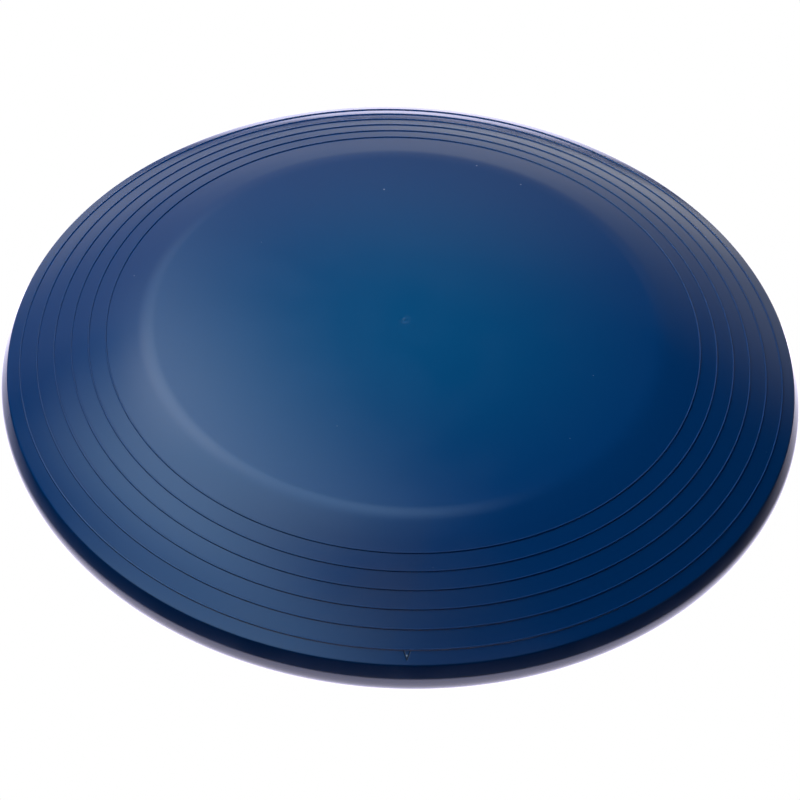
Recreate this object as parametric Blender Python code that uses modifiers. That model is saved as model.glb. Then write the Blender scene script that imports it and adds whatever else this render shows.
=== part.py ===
"""Flying disc for lawn games: one moulded plastic shell, turned about +Z.

Lengths are in metres. The origin is at the middle of the base, on the surface that the disc rests on.
From the axis outwards the shell has a flat centre with the moulding gate's mark, a bend, a long
shoulder with concentric grip ribs, an edge, a straight side and a round nose that curls under to a
narrow flat seat. The wall has one thickness all over, so the underside repeats the outer curves one
wall further in.
"""

import math

import bpy

# Overall sizes
DIAMETER = 0.230
HEIGHT = 0.0236
WALL = 0.0019

# Crown: the flat centre, the bend at its edge and the shoulder's long arc
FLAT_RADIUS = 0.0706
BEND_RADIUS = 0.023
SHOULDER_RADIUS = 0.1745

# Rim: the edge where the crown ends, how far it stands in from the widest point, and the nose
EDGE_HEIGHT = 0.01025
EDGE_INSET = 0.0021
EDGE_ROUND = 0.0008
NOSE_RADIUS = 0.005
NOSE_WRAP = math.radians(66)
SEAT_WIDTH = 0.0015
LIP_ROUND = 0.0004

# Grip ribs, counted inwards from the outermost one
RIB_COUNT = 6
RIB_PITCH = 0.00493
RIB_MARGIN = 0.0058
RIB_WIDTH = 0.0005
RIB_HEIGHT = 0.0003

# Gate mark: a shallow dimple with a small nub in its middle
GATE_RADIUS = 0.0022
GATE_DEPTH = 0.00015
NUB_RADIUS = 0.0006

# Fineness of the faceted solid
TURN_STEPS = 88
EDGE_STEPS = 2
NOSE_STEPS = 10
BEND_STEPS = 3
LIP_STEPS = 2

# Moulded pigment, linear RGB, and its gloss
BLUE = (0.006, 0.062, 0.185, 1.0)
GLOSS_ROUGHNESS = 0.12

NODE = "disc"
COLLECTION = "flying_disc"

UP = math.pi / 2
DOWN = -math.pi / 2


def along(centre, radius, angle):
    """The point at a distance and direction from centre. Angle 0 is outwards and UP is +Z."""
    return centre[0] + radius * math.cos(angle), centre[1] + radius * math.sin(angle)


def arc(centre, radius, start, end, steps):
    """Points along an arc, both ends included."""
    return [along(centre, radius, start + (end - start) * i / steps) for i in range(steps + 1)]


def shoulder_centre(bend, bend_radius, edge):
    """The centre of the shoulder's arc, which touches the bend and ends at the crown's edge."""
    to_bend = SHOULDER_RADIUS - bend_radius
    gap = math.dist(bend, edge)
    direction = math.atan2(edge[1] - bend[1], edge[0] - bend[0])
    opening = math.acos((to_bend**2 + gap**2 - SHOULDER_RADIUS**2) / (2 * to_bend * gap))
    return along(bend, to_bend, direction - opening)


# Places in the section, as (distance from the axis, height)
NOSE = (DIAMETER / 2 - NOSE_RADIUS, NOSE_RADIUS * math.sin(NOSE_WRAP))
EDGE = (DIAMETER / 2 - EDGE_INSET, EDGE_HEIGHT)
BEND = (FLAT_RADIUS, HEIGHT - BEND_RADIUS)
SHOULDER = shoulder_centre(BEND, BEND_RADIUS, EDGE)

# Directions in which the bend gives way to the shoulder, and the straight side to the nose
BEND_END = math.atan2(BEND[1] - SHOULDER[1], BEND[0] - SHOULDER[0])
SIDE = math.atan2(EDGE[1] - NOSE[1], EDGE[0] - NOSE[0]) - math.acos(NOSE_RADIUS / math.dist(EDGE, NOSE))


def edge_direction(depth):
    """Direction, from the shoulder's centre, of what lies this deep under both crown and side."""
    reach = (EDGE[0] - SHOULDER[0]) * math.cos(SIDE) + (EDGE[1] - SHOULDER[1]) * math.sin(SIDE)
    return SIDE + math.acos((reach - depth) / (SHOULDER_RADIUS - depth))


def shoulder_point(distance, raised=0.0):
    """The shoulder's point at a distance from the axis, raised square to the surface."""
    angle = math.acos((distance - SHOULDER[0]) / SHOULDER_RADIUS)
    return along(SHOULDER, SHOULDER_RADIUS + raised, angle)


def ribs():
    """Each grip rib as its foot, its crest and its other foot, from the axis outwards."""
    outermost = DIAMETER / 2 - RIB_MARGIN
    points = []
    for index in reversed(range(RIB_COUNT)):
        middle = outermost - index * RIB_PITCH
        points.append(shoulder_point(middle - RIB_WIDTH / 2))
        points.append(shoulder_point(middle, RIB_HEIGHT))
        points.append(shoulder_point(middle + RIB_WIDTH / 2))
    return points


def gate_mark():
    """The nub on the axis and the dimple round it, ending on the flat top."""
    floor = HEIGHT - GATE_DEPTH
    return [(0.0, HEIGHT), (NUB_RADIUS, floor), (0.7 * GATE_RADIUS, floor), (GATE_RADIUS, HEIGHT)]


def top_side():
    """From the axis out to the crown's edge: the gate mark, the flat centre, the bend and the ribs."""
    return gate_mark() + arc(BEND, BEND_RADIUS, UP, BEND_END, BEND_STEPS) + ribs()


def rim():
    """Over the crown's rounded edge, down the side and round the nose to the seat."""
    start = edge_direction(EDGE_ROUND)
    centre = along(SHOULDER, SHOULDER_RADIUS - EDGE_ROUND, start)
    over_edge = arc(centre, EDGE_ROUND, start, SIDE, EDGE_STEPS)
    return over_edge + arc(NOSE, NOSE_RADIUS, SIDE, -NOSE_WRAP, NOSE_STEPS)


def lip():
    """The flat seat, then round the lip's inner edge, up to where the underside starts."""
    inner_radius = NOSE_RADIUS - WALL
    edge = along(NOSE, NOSE_RADIUS, -NOSE_WRAP)[0] - SEAT_WIDTH
    round_from_axis = edge + LIP_ROUND
    drop = math.sqrt((inner_radius + LIP_ROUND) ** 2 - (round_from_axis - NOSE[0]) ** 2)
    lower_round = (round_from_axis, LIP_ROUND)
    upper_round = (round_from_axis, NOSE[1] - drop)
    meeting = math.atan2(NOSE[1] - upper_round[1], NOSE[0] - upper_round[0])
    points = arc(lower_round, LIP_ROUND, DOWN, -math.pi, LIP_STEPS)
    points += arc(upper_round, LIP_ROUND, math.pi, meeting, LIP_STEPS)
    return points, meeting - math.pi


def underside(lip_end):
    """From the lip back to the axis, one wall inside the outer curves."""
    points = arc(NOSE, NOSE_RADIUS - WALL, lip_end, SIDE, NOSE_STEPS - 1)[1:]
    points += arc(SHOULDER, SHOULDER_RADIUS - WALL, edge_direction(WALL), BEND_END, BEND_STEPS)
    points += arc(BEND, BEND_RADIUS - WALL, BEND_END, UP, BEND_STEPS)[1:]
    points.append((0.0, HEIGHT - WALL))
    return points


def section():
    """Half of the shell's cross-section, from the axis over the outside and back underneath."""
    lip_points, lip_end = lip()
    return top_side() + rim() + lip_points + underside(lip_end)


def clear_scene():
    for old in list(bpy.data.objects):
        bpy.data.objects.remove(old, do_unlink=True)


def moulded_plastic():
    """Blue pigmented plastic with the gloss of a polished mould."""
    material = bpy.data.materials.new("blue_moulded_plastic")
    material.use_nodes = True
    shader = material.node_tree.nodes["Principled BSDF"]
    shader.inputs["Base Color"].default_value = BLUE
    shader.inputs["Metallic"].default_value = 0.0
    shader.inputs["Roughness"].default_value = GLOSS_ROUGHNESS
    material.diffuse_color = BLUE
    return material


def turned_piece(name, outline, material):
    """An object whose section, drawn at +X, is turned about +Z."""
    points = [(distance, 0.0, height) for distance, height in outline]
    edges = [(i, i + 1) for i in range(len(points) - 1)]
    mesh = bpy.data.meshes.new(name)
    mesh.from_pydata(points, edges, [])
    mesh.materials.append(material)
    piece = bpy.data.objects.new(name, mesh)
    screw = piece.modifiers.new("turn", "SCREW")
    screw.axis = "Z"
    screw.steps = TURN_STEPS
    screw.render_steps = TURN_STEPS
    screw.use_merge_vertices = True
    screw.merge_threshold = 0.00001
    screw.use_smooth_shade = True
    return piece


def main():
    clear_scene()
    scene = bpy.context.scene
    scene.unit_settings.system = "METRIC"
    scene.unit_settings.scale_length = 1.0
    collection = bpy.data.collections.new(COLLECTION)
    scene.collection.children.link(collection)
    collection.objects.link(turned_piece(NODE, section(), moulded_plastic()))


main()
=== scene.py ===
"""Looks of the flying disc: the moulded shell with its finish, the studio and the camera."""

import math
import typing

import bpy
from bpy.props import FloatProperty, FloatVectorProperty, IntProperty, PointerProperty
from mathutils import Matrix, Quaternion, Vector


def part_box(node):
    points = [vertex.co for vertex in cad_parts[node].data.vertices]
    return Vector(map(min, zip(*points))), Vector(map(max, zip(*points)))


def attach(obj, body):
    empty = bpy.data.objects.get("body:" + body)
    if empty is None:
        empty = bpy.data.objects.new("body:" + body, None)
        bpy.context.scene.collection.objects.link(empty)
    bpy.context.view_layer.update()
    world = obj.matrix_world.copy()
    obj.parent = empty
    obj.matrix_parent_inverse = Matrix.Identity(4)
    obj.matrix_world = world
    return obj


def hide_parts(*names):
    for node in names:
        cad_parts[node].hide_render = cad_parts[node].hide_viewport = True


bl_info = {
    "name": "Flying disc looks",
    "version": (1, 0, 0),
    "blender": (4, 5, 0),
    "location": "3D View > Sidebar > Flying disc",
    "description": "Builds a moulded flying disc round its packed frame, with its studio",
    "category": "Object",
}

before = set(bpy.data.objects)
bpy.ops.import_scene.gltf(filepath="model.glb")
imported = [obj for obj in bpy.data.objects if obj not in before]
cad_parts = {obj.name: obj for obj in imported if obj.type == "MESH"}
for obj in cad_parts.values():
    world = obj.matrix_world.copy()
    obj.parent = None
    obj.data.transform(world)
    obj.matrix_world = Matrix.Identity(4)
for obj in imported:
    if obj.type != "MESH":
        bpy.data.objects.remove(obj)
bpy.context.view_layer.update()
shell_low, shell_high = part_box("disc")

MM = 0.001
UP = math.pi / 2
DOWN = -math.pi / 2
FULL_TURN = 2 * math.pi

# Points on the outline's curves
NUB_STEPS = 4
DIMPLE_STEPS = 6
BEND_STEPS = 14
RIB_STEPS = 12
BAND_STEPS = 4
EDGE_STEPS = 8
SIDE_SHARES = (0.04, 0.35, 0.65, 0.96)
NOSE_STEPS = 28
LIP_STEPS = 6
NOSE_INSIDE_STEPS = 16
SHOULDER_INSIDE_STEPS = 16
BEND_INSIDE_STEPS = 6

MERGE_GAP = 0.002 * MM
SHARP_ANGLE = math.radians(22)


def linear(hex_colour):
    """Linear RGB of an sRGB hex colour."""
    channels = [int(hex_colour[i : i + 2], 16) / 255 for i in (1, 3, 5)]
    return [c / 12.92 if c <= 0.04045 else ((c + 0.055) / 1.055) ** 2.4 for c in channels]


def length(name, description, millimetres):
    """A property that holds a length, shown in the scene's own unit."""
    return FloatProperty(
        name=name,
        description=description,
        default=millimetres * MM,
        min=0.0,
        unit="LENGTH",
        precision=5,
    )


class DiscShape(bpy.types.PropertyGroup):
    """Sizes of the turned shell."""

    diameter: FloatProperty(
        name="Diameter",
        description="Across the rim",
        default=shell_high.x - shell_low.x,
        unit="LENGTH",
        precision=5,
    )
    height: FloatProperty(
        name="Height",
        description="From the seat to the flat top",
        default=shell_high.z - shell_low.z,
        unit="LENGTH",
        precision=5,
    )
    wall: length("Wall", "Thickness of the shell", 1.9)
    flat_radius: length("Flat radius", "Where the flat centre starts to bend", 70.6)
    bend_radius: length("Bend radius", "Rounding at the edge of the flat centre", 23.0)
    shoulder_radius: length("Shoulder radius", "Radius of the shoulder's long arc", 174.5)
    edge_height: length("Edge height", "Height at which the crown ends", 10.25)
    edge_inset: length("Edge inset", "From the widest point in to the crown's edge", 2.1)
    edge_round: length("Edge rounding", "Rounding of the crown's edge", 0.8)
    nose_radius: length("Nose radius", "Rounding of the rim below its straight side", 5.0)
    nose_wrap: FloatProperty(
        name="Nose wrap",
        description="How far the rim curls under",
        default=math.radians(66),
        subtype="ANGLE",
    )
    seat_width: length("Seat width", "Flat ring that the disc rests on", 1.5)
    lip_round: length("Lip rounding", "Rounding of the seat's inner edge", 0.4)
    rib_count: IntProperty(name="Ribs", description="Number of grip ribs", default=6, min=1)
    rib_pitch: length("Rib pitch", "From one grip rib to the next", 4.93)
    rib_margin: length("Rib margin", "From the rim in to the outermost rib", 5.8)
    rib_width: length("Rib width", "Width of a rib at its foot", 0.5)
    rib_height: length("Rib height", "How far a rib stands up", 0.3)
    gate_radius: length("Gate mark", "Radius of the dimple left by the moulding gate", 2.2)
    gate_depth: length("Gate depth", "Depth of that dimple", 0.05)
    nub_radius: length("Gate nub", "Radius of the nub in that dimple", 0.6)
    turn_steps: IntProperty(
        name="Turn steps",
        description="Faces round the shell",
        default=384,
        min=48,
    )


class DiscFinish(bpy.types.PropertyGroup):
    """Colour and gloss of the plastic."""

    pigment: FloatVectorProperty(
        name="Pigment",
        description="Colour of the plastic",
        subtype="COLOR",
        size=3,
        default=linear("#013A77"),
    )
    # Painted light: a paler colour round the middle, standing in for the brighter light on the flat
    # centre.
    painted_glow_pigment: FloatVectorProperty(
        name="Pigment at the gate",
        description="Colour round the middle, where the melt came in",
        subtype="COLOR",
        size=3,
        default=linear("#01578D"),
    )
    # Painted light: how far out the painted paler middle reaches.
    painted_glow_reach: length("Gate reach", "How far from the axis the gate's colour has faded out", 92.0)
    dust: FloatVectorProperty(
        name="Dust",
        description="Colour of the dust specks",
        subtype="COLOR",
        size=3,
        default=linear("#9FB2C6"),
    )
    roughness: FloatProperty(
        name="Roughness",
        description="Of the polished face",
        default=0.15,
        min=0,
        max=1,
    )
    speck_size: length("Speck size", "Across a speck of dust", 0.6)
    speck_gap: length("Speck gap", "Between the places where a speck may lie", 7.0)
    wave_length: length("Wave length", "Of the slight unevenness of the face", 14.0)
    wave_depth: length("Wave depth", "Of the slight unevenness of the face", 0.006)
    scratch_gap: length("Scratch gap", "Between neighbouring hairline scratches", 9.0)
    nick_radius: length("Nick radius", "From the axis to the nick beside the outermost rib", 110.6)
    nick_turn: FloatProperty(
        name="Nick turn",
        description="Round the axis to the nick",
        default=math.radians(177.2),
        subtype="ANGLE",
    )
    nick_size: length("Nick size", "Half the length of the nick", 1.1)


def along(centre, radius, angle):
    """The point at a distance and direction from centre. Angle 0 is outwards and UP is +Z."""
    return centre[0] + radius * math.cos(angle), centre[1] + radius * math.sin(angle)


def arc(centre, radius, start, end, steps):
    """Points along an arc, both ends included."""
    return [along(centre, radius, start + (end - start) * i / steps) for i in range(steps + 1)]


class ShellSection:
    """Half of the shell's cross-section, as (distance from the axis, height)."""

    def __init__(self, shape):
        self.shape = shape
        half = shape.diameter / 2
        self.nose = (half - shape.nose_radius, shape.nose_radius * math.sin(shape.nose_wrap))
        self.edge = (half - shape.edge_inset, shape.edge_height)
        self.bend = (shape.flat_radius, shape.height - shape.bend_radius)
        self.shoulder = self.shoulder_centre()
        self.bend_end = math.atan2(self.bend[1] - self.shoulder[1], self.bend[0] - self.shoulder[0])
        rise = math.atan2(self.edge[1] - self.nose[1], self.edge[0] - self.nose[0])
        self.side = rise - math.acos(shape.nose_radius / math.dist(self.edge, self.nose))

    def shoulder_centre(self):
        """Centre of the long arc that touches the bend and ends at the crown's edge."""
        radius = self.shape.shoulder_radius
        to_bend = radius - self.shape.bend_radius
        gap = math.dist(self.bend, self.edge)
        direction = math.atan2(self.edge[1] - self.bend[1], self.edge[0] - self.bend[0])
        opening = math.acos((to_bend**2 + gap**2 - radius**2) / (2 * to_bend * gap))
        return along(self.bend, to_bend, direction - opening)

    def edge_direction(self, depth):
        """Direction, from the shoulder's centre, of the point this deep under crown and side."""
        across = (self.edge[0] - self.shoulder[0]) * math.cos(self.side)
        upward = (self.edge[1] - self.shoulder[1]) * math.sin(self.side)
        share = (across + upward - depth) / (self.shape.shoulder_radius - depth)
        return self.side + math.acos(share)

    def on_shoulder(self, distance, raised=0.0):
        """The shoulder's point at a distance from the axis, raised square to the surface."""
        angle = math.acos((distance - self.shoulder[0]) / self.shape.shoulder_radius)
        return along(self.shoulder, self.shape.shoulder_radius + raised, angle)

    def rib(self, middle):
        """A half-round rib between its two feet."""
        points = []
        for step in range(RIB_STEPS + 1):
            turned = math.pi * step / RIB_STEPS
            across = middle - math.cos(turned) * self.shape.rib_width / 2
            points.append(self.on_shoulder(across, math.sin(turned) * self.shape.rib_height))
        return points

    def gate_mark(self):
        """The nub on the axis and the dimple round it, out to the flat top."""
        shape, top = self.shape, self.shape.height
        floor = top - shape.gate_depth
        points = []
        for step in range(NUB_STEPS):
            height = floor + shape.gate_depth * math.cos(UP * step / NUB_STEPS)
            points.append((shape.nub_radius * step / NUB_STEPS, height))
        points.append((shape.nub_radius, floor))
        for step in range(1, DIMPLE_STEPS + 1):
            share = step / DIMPLE_STEPS
            distance = shape.nub_radius + (shape.gate_radius - shape.nub_radius) * share
            sunk = shape.gate_depth * (1 + math.cos(math.pi * share)) / 2
            points.append((distance, top - sunk))
        return points

    def ribbed_shoulder(self):
        """The shoulder from the bend to its edge: ribs, with plain bands between them."""
        shape = self.shape
        outermost = shape.diameter / 2 - shape.rib_margin
        points = []
        last = along(self.bend, shape.bend_radius, self.bend_end)[0]
        for index in reversed(range(shape.rib_count)):
            middle = outermost - index * shape.rib_pitch
            points += self.band(last, middle - shape.rib_width / 2)
            points += self.rib(middle)
            last = middle + shape.rib_width / 2
        rounding = shape.shoulder_radius - shape.edge_round
        end = along(self.shoulder, rounding, self.edge_direction(shape.edge_round))[0]
        return points + self.band(last, end)

    def band(self, start, end):
        """A plain stretch of the shoulder. Rings close to both ends keep its shading true there."""
        close = self.shape.rib_width / 10
        inner, outer = start + close, end - close
        points = []
        for step in range(BAND_STEPS + 1):
            points.append(self.on_shoulder(inner + (outer - inner) * step / BAND_STEPS))
        return points

    def rim(self):
        """Over the crown's rounded edge, down the straight side and round the nose to the seat."""
        shape = self.shape
        start = self.edge_direction(shape.edge_round)
        centre = along(self.shoulder, shape.shoulder_radius - shape.edge_round, start)
        over_edge = arc(centre, shape.edge_round, start, self.side, EDGE_STEPS)
        nose = arc(self.nose, shape.nose_radius, self.side, -shape.nose_wrap, NOSE_STEPS)
        foot, head = over_edge[-1], nose[0]
        down_side = [
            tuple(a + (b - a) * share for a, b in zip(foot, head, strict=True))
            for share in SIDE_SHARES
        ]
        return over_edge + down_side + nose

    def lip(self):
        """The seat, the lip's rounded inner edge and the direction in which the inside starts."""
        shape = self.shape
        inner = shape.nose_radius - shape.wall
        edge = along(self.nose, shape.nose_radius, -shape.nose_wrap)[0] - shape.seat_width
        turn = edge + shape.lip_round
        drop = math.sqrt((inner + shape.lip_round) ** 2 - (turn - self.nose[0]) ** 2)
        upper = (turn, self.nose[1] - drop)
        meeting = math.atan2(self.nose[1] - upper[1], self.nose[0] - upper[0])
        points = arc((turn, shape.lip_round), shape.lip_round, DOWN, -math.pi, LIP_STEPS)
        points += arc(upper, shape.lip_round, math.pi, meeting, LIP_STEPS)
        return points, meeting - math.pi

    def outline(self):
        """All points, from the axis over the outside, round the lip and back underneath."""
        shape = self.shape
        lip_points, inside_start = self.lip()
        under_edge = self.edge_direction(shape.wall)
        inner_nose = shape.nose_radius - shape.wall
        inner_shoulder = shape.shoulder_radius - shape.wall
        inner_bend = shape.bend_radius - shape.wall
        points = self.gate_mark()
        points += arc(self.bend, shape.bend_radius, UP, self.bend_end, BEND_STEPS)
        points += self.ribbed_shoulder()
        points += self.rim()
        points += lip_points
        points += arc(self.nose, inner_nose, inside_start, self.side, NOSE_INSIDE_STEPS)[1:]
        points += arc(
            self.shoulder, inner_shoulder, under_edge, self.bend_end, SHOULDER_INSIDE_STEPS
        )
        points += arc(self.bend, inner_bend, self.bend_end, UP, BEND_INSIDE_STEPS)[1:]
        points.append((0.0, shape.height - shape.wall))
        return points


def deselect_all():
    if bpy.context.object and bpy.context.object.mode != "OBJECT":
        bpy.ops.object.mode_set(mode="OBJECT")
    bpy.ops.object.select_all(action="DESELECT")


def single_vertex(name, place):
    """A new object in edit mode that holds one selected vertex."""
    deselect_all()
    bpy.ops.mesh.primitive_plane_add(size=MM, location=(0, 0, 0))
    piece = bpy.context.object
    piece.name = name
    piece.data.name = name
    bpy.ops.object.mode_set(mode="EDIT")
    bpy.ops.mesh.select_all(action="SELECT")
    bpy.ops.mesh.merge(type="CENTER")
    bpy.ops.transform.translate(value=place)
    return piece


def turned_shell(name, outline, steps):
    """Draws the outline vertex by vertex, spins it round the axis and closes it."""
    first, rest = outline[0], outline[1:]
    piece = single_vertex(name, (first[0], 0.0, first[1]))
    here = first
    for there in rest:
        move = (there[0] - here[0], 0.0, there[1] - here[1])
        bpy.ops.mesh.extrude_region_move(TRANSFORM_OT_translate={"value": move})
        here = there
    bpy.ops.mesh.select_all(action="SELECT")
    bpy.ops.mesh.spin(steps=steps, angle=FULL_TURN, center=(0, 0, 0), axis=(0, 0, 1))
    bpy.ops.mesh.select_all(action="SELECT")
    bpy.ops.mesh.remove_doubles(threshold=MERGE_GAP)
    bpy.ops.mesh.normals_make_consistent(inside=False)
    bpy.ops.object.mode_set(mode="OBJECT")
    bpy.ops.object.shade_smooth_by_angle(angle=SHARP_ANGLE)
    return piece


def node(tree, kind, inputs=None, **settings):
    """Adds a node. inputs gives a value or an output socket for each named or numbered input."""
    made = tree.nodes.new(kind)
    for name, value in settings.items():
        setattr(made, name, value)
    for name, value in (inputs or {}).items():
        if isinstance(value, bpy.types.NodeSocket):
            tree.links.new(value, made.inputs[name])
        else:
            made.inputs[name].default_value = value
    return made


def new_material(name):
    material = bpy.data.materials.new(name)
    material.use_nodes = True
    material.node_tree.nodes.clear()
    return material, material.node_tree


SMOOTH = {"interpolation_type": "SMOOTHSTEP"}

# Sockets of a Mix node that is set to colours
SHARE, FIRST, SECOND, MIXED = 0, 6, 7, 2

CROWD_SIZE = 60 * MM
CROWD_SHOWS = (0.35, 0.6)
SPECK_CORE = 0.4
SPECK_SHOWS = (0.5, 0.8)

HAIRLINE_STRETCH = 12.0
HAIRLINE_RISE = (0.60, 0.615)
HAIRLINE_FALL = (0.615, 0.63)
HAIRLINE_SETS = ((1.0, 24), (1.7, -51))
HAIRLINE_DEPTH = 0.002 * MM

# In half lengths of the nick
NICK_SLOPE = 0.375
NICK_STROKE = (0.08, 0.24)
NICK_END = (0.9, 1.15)
CHIP_EDGE = (0.1, 0.28)
# Painted shade: the dark colour laid into the nick stands in for the shade inside the dent.
NICK_SHADE_COLOUR = "#01081C"
NICK_SHADE_SHARE = 0.85
NICK_DEPTH = 0.06 * MM

DUST_COVERS = 0.8
DUST_ROUGHENS = 0.3
WAVE_SPAN = (0.3, 0.7)
WAVE_POLISH = (0.92, 1.12)
POLYETHYLENE_IOR = 1.51


def span(value, given, wanted=(0.0, 1.0)):
    """Inputs that bring a value from one span to another."""
    return {0: value, 1: given[0], 2: given[1], 3: wanted[0], 4: wanted[1]}


def dust_specks(tree, here, finish):
    """A mask of small specks, few and far between, thinned further by a slow noise."""
    one_cell = (1 / finish.speck_gap,) * 3
    placed = node(tree, "ShaderNodeMapping", {"Vector": here, "Scale": one_cell})
    scattered = {"Vector": placed.outputs[0], "Scale": 1.0, "Randomness": 1.0}
    cells = node(tree, "ShaderNodeTexVoronoi", scattered)
    half = finish.speck_size / finish.speck_gap / 2
    rounded = span(cells.outputs["Distance"], (half * SPECK_CORE, half), (1.0, 0.0))
    spot = node(tree, "ShaderNodeMapRange", rounded, **SMOOTH)

    chance = node(tree, "ShaderNodeSeparateXYZ", {0: cells.outputs["Color"]})
    kept = node(tree, "ShaderNodeMapRange", span(chance.outputs[0], SPECK_SHOWS), **SMOOTH)
    shown = {0: spot.outputs[0], 1: kept.outputs[0]}
    specks = node(tree, "ShaderNodeMath", shown, operation="MULTIPLY")

    one_crowd = (1 / CROWD_SIZE,) * 3
    spread = node(tree, "ShaderNodeMapping", {"Vector": here, "Scale": one_crowd})
    slow = {"Vector": spread.outputs[0], "Scale": 1.0, "Detail": 1.0}
    crowd = node(tree, "ShaderNodeTexNoise", slow)
    dusty = node(tree, "ShaderNodeMapRange", span(crowd.outputs[0], CROWD_SHOWS), **SMOOTH)
    thinned = {0: specks.outputs[0], 1: dusty.outputs[0]}
    return node(tree, "ShaderNodeMath", thinned, operation="MULTIPLY").outputs[0]


def hairlines(tree, here, spacing, turn):
    """A mask of fine straight scratches that lie along one direction, broken into short runs."""
    drawn_out = {
        "Vector": here,
        "Rotation": (0, 0, math.radians(turn)),
        "Scale": (1 / (spacing * HAIRLINE_STRETCH), 1 / spacing, 1 / spacing),
    }
    placed = node(tree, "ShaderNodeMapping", drawn_out)
    lines = node(tree, "ShaderNodeTexNoise", {"Vector": placed.outputs[0], "Scale": 1.0})
    rise = node(tree, "ShaderNodeMapRange", span(lines.outputs[0], HAIRLINE_RISE), **SMOOTH)
    falling = span(lines.outputs[0], HAIRLINE_FALL, (1.0, 0.0))
    fall = node(tree, "ShaderNodeMapRange", falling, **SMOOTH)
    both = {0: rise.outputs[0], 1: fall.outputs[0]}
    return node(tree, "ShaderNodeMath", both, operation="MULTIPLY").outputs[0]


def rim_nick(tree, here, finish):
    """A V-shaped nick whose point looks outwards, and the chip in its middle, as two masks."""
    outwards = (math.sin(finish.nick_turn), math.cos(finish.nick_turn), 0.0)
    on_rim = {
        "Vector": here,
        "Location": [finish.nick_radius * share for share in outwards],
        "Rotation": (0, 0, -finish.nick_turn),
        "Scale": (finish.nick_size, finish.nick_size, 1),
    }
    placed = node(tree, "ShaderNodeMapping", on_rim, vector_type="TEXTURE")
    split = node(tree, "ShaderNodeSeparateXYZ", {0: placed.outputs[0]})
    across, outward = split.outputs["X"], split.outputs["Y"]

    aside = node(tree, "ShaderNodeMath", {0: across}, operation="ABSOLUTE")
    slanted = {0: outward, 1: NICK_SLOPE, 2: -NICK_SLOPE}
    arm = node(tree, "ShaderNodeMath", slanted, operation="MULTIPLY_ADD")
    from_arm = {0: aside.outputs[0], 1: arm.outputs[0]}
    off_arm = node(tree, "ShaderNodeMath", from_arm, operation="ADD")
    width = node(tree, "ShaderNodeMath", {0: off_arm.outputs[0]}, operation="ABSOLUTE")
    stroke = span(width.outputs[0], NICK_STROKE, (1.0, 0.0))
    line = node(tree, "ShaderNodeMapRange", stroke, **SMOOTH)
    run = node(tree, "ShaderNodeMath", {0: outward}, operation="ABSOLUTE")
    ending = span(run.outputs[0], NICK_END, (1.0, 0.0))
    end = node(tree, "ShaderNodeMapRange", ending, **SMOOTH)
    both = {0: line.outputs[0], 1: end.outputs[0]}
    strokes = node(tree, "ShaderNodeMath", both, operation="MULTIPLY")

    flat = node(tree, "ShaderNodeCombineXYZ", {0: across, 1: outward})
    middle = node(tree, "ShaderNodeVectorMath", {0: flat.outputs[0]}, operation="LENGTH")
    rounded = span(middle.outputs["Value"], CHIP_EDGE, (1.0, 0.0))
    chip = node(tree, "ShaderNodeMapRange", rounded, **SMOOTH)
    return strokes.outputs[0], chip.outputs[0]


def plastic_colour(tree, here, finish, nick, pale):
    """Pigment, paler in the middle as painted light, with painted shade in the nick, then dusted.
    """
    # Painted light: paler towards the middle, standing in for the brighter light on the flat
    # centre.
    one_reach = (1 / finish.painted_glow_reach,) * 3
    placed = node(tree, "ShaderNodeMapping", {"Vector": here, "Scale": one_reach})
    reach = node(tree, "ShaderNodeVectorMath", {0: placed.outputs[0]}, operation="LENGTH")
    fading = span(reach.outputs["Value"], (0.0, 1.0))
    centre_glow = node(tree, "ShaderNodeMapRange", fading, **SMOOTH)
    glow_blend = {
        SHARE: centre_glow.outputs[0],
        FIRST: (*finish.painted_glow_pigment, 1.0),
        SECOND: (*finish.pigment, 1.0),
    }
    body = node(tree, "ShaderNodeMix", glow_blend, data_type="RGBA")

    # Painted shade: the nick is darkened almost to black, standing in for the shade inside the
    # dent.
    nick_shade = node(tree, "ShaderNodeMath", {0: nick, 1: NICK_SHADE_SHARE}, operation="MULTIPLY")
    nick_shaded = {
        SHARE: nick_shade.outputs[0],
        FIRST: body.outputs[MIXED],
        SECOND: (*linear(NICK_SHADE_COLOUR), 1.0),
    }
    nicked = node(tree, "ShaderNodeMix", nick_shaded, data_type="RGBA")

    dust_share = node(tree, "ShaderNodeMath", {0: pale, 1: DUST_COVERS}, operation="MULTIPLY")
    covered = {
        SHARE: dust_share.outputs[0],
        FIRST: nicked.outputs[MIXED],
        SECOND: (*finish.dust, 1.0),
    }
    return node(tree, "ShaderNodeMix", covered, data_type="RGBA").outputs[MIXED]
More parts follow.
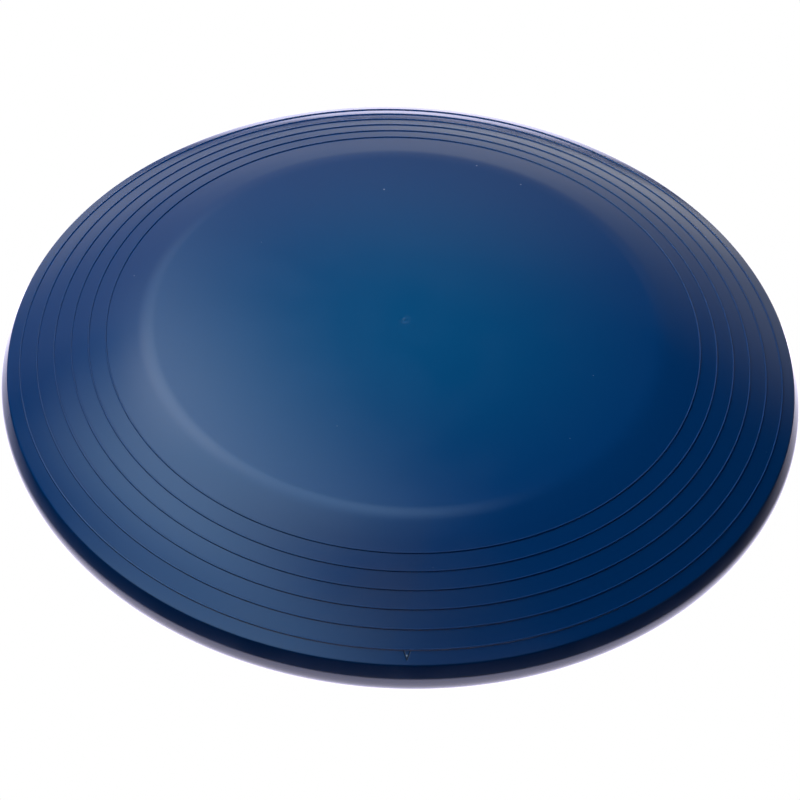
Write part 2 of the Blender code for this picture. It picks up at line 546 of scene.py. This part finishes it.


# Polyethylene, pigmented right through and injection moulded against polished steel. To the
# eye it is a deep, even blue under a smooth gloss that mirrors large lights with soft edges. Its
# colour is painted paler round the middle: painted light, standing in for the brighter light
# that falls on the flat centre. Handling has left hairlines, dust and one nick, whose dark colour
# is painted shade in the dent. Real hairlines and dust are finer, and are drawn as coarse as
# they need to show.
def moulded_polyethylene(finish):
    """Pigmented polyethylene, moulded against polished steel and a little handled."""
    material, tree = new_material("moulded_polyethylene")
    here = node(tree, "ShaderNodeTexCoord").outputs["Object"]
    dust = dust_specks(tree, here, finish)
    nick, chip = rim_nick(tree, here, finish)
    pale = node(tree, "ShaderNodeMath", {0: dust, 1: chip}, operation="MAXIMUM").outputs[0]
    scratches = []
    for gap, turn in HAIRLINE_SETS:
        scratches.append(hairlines(tree, here, finish.scratch_gap * gap, turn))
    either = {0: scratches[0], 1: scratches[1]}
    scuffs = node(tree, "ShaderNodeMath", either, operation="MAXIMUM")

    one_wave = (1 / finish.wave_length,) * 3
    rolling = node(tree, "ShaderNodeMapping", {"Vector": here, "Scale": one_wave})
    waves = node(tree, "ShaderNodeTexNoise", {"Vector": rolling.outputs[0], "Scale": 1.0})
    waving = {"Height": waves.outputs[0], "Distance": finish.wave_depth}
    uneven = node(tree, "ShaderNodeBump", waving)
    scored = {
        "Height": scuffs.outputs[0],
        "Distance": HAIRLINE_DEPTH,
        "Normal": uneven.outputs[0],
    }
    scored_face = node(tree, "ShaderNodeBump", scored, invert=True)
    nicked = {"Height": nick, "Distance": NICK_DEPTH, "Normal": scored_face.outputs[0]}
    normal = node(tree, "ShaderNodeBump", nicked, invert=True)

    polished = [finish.roughness * share for share in WAVE_POLISH]
    polish = node(
        tree, "ShaderNodeMapRange", span(waves.outputs[0], WAVE_SPAN, polished), **SMOOTH
    )
    dulling = {0: pale, 1: DUST_ROUGHENS}
    dulled = node(tree, "ShaderNodeMath", dulling, operation="MULTIPLY")
    together = {0: dulled.outputs[0], 1: polish.outputs[0]}
    roughness = node(tree, "ShaderNodeMath", together, operation="ADD")
    looks = {
        "Base Color": plastic_colour(tree, here, finish, nick, pale),
        "IOR": POLYETHYLENE_IOR,
        "Roughness": roughness.outputs[0],
        "Normal": normal.outputs[0],
    }
    shader = node(tree, "ShaderNodeBsdfPrincipled", looks)
    node(tree, "ShaderNodeOutputMaterial", {"Surface": shader.outputs["BSDF"]})
    return material


class DISC_OT_mould_shell(bpy.types.Operator):
    """Turns the shell and gives it its finish."""

    bl_idname = "disc.mould_shell"
    bl_label = "Mould shell"

    def execute(self, context):
        section = ShellSection(context.scene.disc_shape)
        shell = turned_shell("disc_shell", section.outline(), context.scene.disc_shape.turn_steps)
        shell.data.materials.append(moulded_polyethylene(context.scene.disc_finish))
        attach(shell, "root")
        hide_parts("disc")
        return {"FINISHED"}


class DiscStudio(bpy.types.PropertyGroup):
    """Brightness of the studio's parts, where 1 is white."""

    softboxes: FloatProperty(
        name="Softboxes", description="Brightness of all softboxes together", default=1.0, min=0.0
    )
    lit_table: FloatProperty(
        name="Lit table", description="Radiance of the table round the disc", default=3.7, min=0.0
    )
    reach: length("Softbox distance", "From the disc to each softbox", 600)


def toward(azimuth, elevation):
    """Unit direction from the disc. Azimuth 0 is +Y, and 90 is +X."""
    azimuth, elevation = math.radians(azimuth), math.radians(elevation)
    level = math.cos(elevation)
    return Vector((math.sin(azimuth) * level, math.cos(azimuth) * level, math.sin(elevation)))


class Softbox(typing.NamedTuple):
    """One diffuser panel that faces the disc. Angles are in degrees and sides in metres.

    The fades are shares of each side, from none to all. lights says what the panel acts on: the
    plastic's gloss, its colour or both.
    """

    name: str
    azimuth: float
    elevation: float
    width: float
    height: float
    turn: float
    side_fade: float
    end_fade: float
    radiance: float
    gel: tuple = (1.0, 1.0, 1.0)
    lights: str = "gloss"


# Light off a pale blue ceiling
CEILING_GEL = (1.0, 1.5, 1.9)

# The key and the first ceiling light stand behind the disc on the left, and the backdrop's three
# panels low behind it. What the gloss mirrors and what brings out the colour are set apart.
SOFTBOXES = (
    Softbox("key_back_left", -35, 50, 0.35, 0.35, -35, 0.85, 1.0, 1.45),
    Softbox("key_diffused", -35, 50, 0.35, 0.35, -35, 0.85, 1.0, 3.8, lights="colour"),
    Softbox("ceiling_left", -45, 60, 0.65, 0.75, 0, 0.5, 1.0, 1.45, CEILING_GEL),
    Softbox("ceiling_front_left", -125, 50, 1.05, 0.75, 40, 0.85, 0.85, 1.05, CEILING_GEL),
    Softbox("front_window", 160, 55, 0.55, 0.35, 0, 0.55, 0.8, 0.25),
    Softbox("backdrop", -15, -3, 1.55, 0.55, 0, 0.45, 1.0, 1.0),
    Softbox("backdrop_high", -15, 25, 1.4, 0.4, -10, 1.0, 0.35, 0.55),
    Softbox("backdrop_right", 30, -4, 1.0, 0.95, -15, 0.7, 1.0, 0.75),
    Softbox("side_fill", 105, -10, 0.75, 0.55, -5, 0.5, 0.6, 0.35),
    Softbox("overhead_diffused", -65, 65, 1.15, 0.25, 80, 0.2, 0.65, 6.5, lights="colour"),
)
FLOOR_SIZE = 12.0
FLOOR_HEIGHT = -1.0 * MM
TABLE_SIZE = 3.0
TABLE_HEIGHT = -0.3 * MM
TABLE_TINT = "#E9E4FF"
TABLE_CENTRE_Y = 0.037
TABLE_HALF_WIDTH = 0.124
TABLE_HALF_DEPTH = 0.208
TABLE_FADE = 0.09

CAMERA_PLACE = (0.0, -0.4646, 0.4693)
CAMERA_DROP = 45.86
CAMERA_ROLL = 3.21
CAMERA_LENS = 101.8
CAMERA_SENSOR = 36.0


def hang_softbox(softbox, reach, brightness):
    """Hangs a rectangular light whose brightness falls off smoothly towards its edges."""
    outward = toward(softbox.azimuth, softbox.elevation)
    bpy.ops.object.light_add(type="AREA", location=outward * reach)
    light = bpy.context.object
    light.name = softbox.name
    facing = outward.to_track_quat("Z", "Y")
    light.rotation_euler = (facing @ Quaternion((0, 0, 1), math.radians(softbox.turn))).to_euler()
    light.visible_camera = False
    light.visible_diffuse = softbox.lights != "gloss"
    light.visible_glossy = softbox.lights != "colour"
    lamp = light.data
    lamp.color = softbox.gel
    lamp.shape = "RECTANGLE"
    lamp.size, lamp.size_y = softbox.width, softbox.height
    lamp.energy = softbox.radiance * brightness * math.pi * softbox.width * softbox.height
    lamp.use_nodes = True
    tree = lamp.node_tree
    tree.nodes.clear()
    across = node(tree, "ShaderNodeNewGeometry").outputs["Parametric"]
    to_middle = {0: across, 1: (0.5, 0.5, 0.0)}
    centred = node(tree, "ShaderNodeVectorMath", to_middle, operation="SUBTRACT")
    split = node(tree, "ShaderNodeSeparateXYZ", {0: centred.outputs[0]})
    fades = []
    for axis, fade in (("X", softbox.side_fade), ("Y", softbox.end_fade)):
        off_centre = node(tree, "ShaderNodeMath", {0: split.outputs[axis]}, operation="ABSOLUTE")
        levels = span(off_centre.outputs[0], (0.5 * (1 - fade), 0.5), (1.0, 0.0))
        fades.append(node(tree, "ShaderNodeMapRange", levels, **SMOOTH).outputs[0])
    both = node(tree, "ShaderNodeMath", {0: fades[0], 1: fades[1]}, operation="MULTIPLY")
    glow = node(tree, "ShaderNodeEmission", {"Strength": both.outputs[0]})
    node(tree, "ShaderNodeOutputLight", {"Surface": glow.outputs[0]})


def stage_plane(name, size, height, material):
    """A level stage surface, its size and place kept in its mesh."""
    deselect_all()
    bpy.ops.mesh.primitive_plane_add(size=size, location=(0, 0, 0))
    made = bpy.context.object
    made.name = name
    bpy.ops.object.mode_set(mode="EDIT")
    bpy.ops.transform.translate(value=(0, 0, height))
    bpy.ops.object.mode_set(mode="OBJECT")
    made.data.materials.append(material)
    made.visible_diffuse = False
    return made


def plain_white():
    """Paper floor, lit until it is white."""
    material, tree = new_material("white_paper_floor")
    glow = node(tree, "ShaderNodeEmission", {"Color": (1, 1, 1, 1), "Strength": 1.0})
    node(tree, "ShaderNodeOutputMaterial", {"Surface": glow.outputs[0]})
    return material


def pool_of_light(radiance):
    """The bright pool on the paper that the disc mirrors: an ellipse with a soft edge."""
    material, tree = new_material("lit_paper_table")
    here = node(tree, "ShaderNodeTexCoord").outputs["Object"]
    pool = {
        "Vector": here,
        "Location": (0, TABLE_CENTRE_Y, 0),
        "Scale": (TABLE_HALF_WIDTH, TABLE_HALF_DEPTH, 1),
    }
    placed = node(tree, "ShaderNodeMapping", pool, vector_type="TEXTURE")
    distance = node(tree, "ShaderNodeVectorMath", {0: placed.outputs[0]}, operation="LENGTH")
    edge = (1 - TABLE_FADE, 1 + TABLE_FADE)
    levels = span(distance.outputs["Value"], edge, (radiance, 0.0))
    level = node(tree, "ShaderNodeMapRange", levels, **SMOOTH)
    tint = (*linear(TABLE_TINT), 1.0)
    glow = node(tree, "ShaderNodeEmission", {"Color": tint, "Strength": level.outputs[0]})
    node(tree, "ShaderNodeOutputMaterial", {"Surface": glow.outputs[0]})
    return material


def white_surround(scene):
    """White beyond the floor for the camera, and no light on the disc."""
    world = bpy.data.worlds.new("white_surround")
    scene.world = world
    world.use_nodes = True
    tree = world.node_tree
    tree.nodes.clear()
    background = node(tree, "ShaderNodeBackground", {"Color": (1, 1, 1, 1), "Strength": 1.0})
    node(tree, "ShaderNodeOutputWorld", {"Surface": background.outputs[0]})
    world.cycles_visibility.diffuse = False
    world.cycles_visibility.glossy = False
    world.cycles_visibility.transmission = False
    world.cycles_visibility.scatter = False


def place_camera(scene):
    """A long lens that looks down on the disc from the front, rolled a little."""
    data = bpy.data.cameras.new("camera")
    data.sensor_width = CAMERA_SENSOR
    data.lens = CAMERA_LENS
    camera = bpy.data.objects.new("camera", data)
    scene.collection.objects.link(camera)
    camera.location = CAMERA_PLACE
    tilt = Quaternion((1, 0, 0), math.radians(90 - CAMERA_DROP))
    camera.rotation_mode = "QUATERNION"
    camera.rotation_quaternion = tilt @ Quaternion((0, 0, 1), math.radians(CAMERA_ROLL))
    scene.camera = camera
    scene.view_settings.view_transform = "Standard"


class DISC_OT_set_stage(bpy.types.Operator):
    """Lays the paper, hangs the softboxes and places the camera."""

    bl_idname = "disc.set_stage"
    bl_label = "Set stage"

    def execute(self, context):
        studio = context.scene.disc_studio
        floor = stage_plane("paper_floor", FLOOR_SIZE, FLOOR_HEIGHT, plain_white())
        floor.visible_glossy = False
        lit_paper = pool_of_light(studio.lit_table)
        table = stage_plane("lit_table", TABLE_SIZE, TABLE_HEIGHT, lit_paper)
        table.visible_camera = False
        deselect_all()
        for softbox in SOFTBOXES:
            hang_softbox(softbox, studio.reach, studio.softboxes)
        white_surround(context.scene)
        place_camera(context.scene)
        return {"FINISHED"}


class DISC_PT_looks(bpy.types.Panel):
    """Lists the disc's pieces, sizes and finish."""

    bl_idname = "DISC_PT_looks"
    bl_label = "Flying disc"
    bl_space_type = "VIEW_3D"
    bl_region_type = "UI"
    bl_category = "Flying disc"

    def draw(self, context):
        layout = self.layout
        scene = context.scene
        for operator in PIECE_OPERATORS:
            layout.operator(operator.bl_idname)
        for group in (scene.disc_shape, scene.disc_finish, scene.disc_studio):
            box = layout.box()
            for name in group.bl_rna.properties.keys():
                if name not in ("rna_type", "name"):
                    box.prop(group, name)


PIECE_OPERATORS = (DISC_OT_mould_shell, DISC_OT_set_stage)
CLASSES = (DiscShape, DiscFinish, DiscStudio, *PIECE_OPERATORS, DISC_PT_looks)


def register():
    for one in CLASSES:
        bpy.utils.register_class(one)
    bpy.types.Scene.disc_shape = PointerProperty(type=DiscShape)
    bpy.types.Scene.disc_finish = PointerProperty(type=DiscFinish)
    bpy.types.Scene.disc_studio = PointerProperty(type=DiscStudio)


def unregister():
    del bpy.types.Scene.disc_studio
    del bpy.types.Scene.disc_finish
    del bpy.types.Scene.disc_shape
    for one in reversed(CLASSES):
        bpy.utils.unregister_class(one)


def main():
    register()
    bpy.ops.disc.mould_shell()
    bpy.ops.disc.set_stage()


if __name__ == "__main__":
    main()
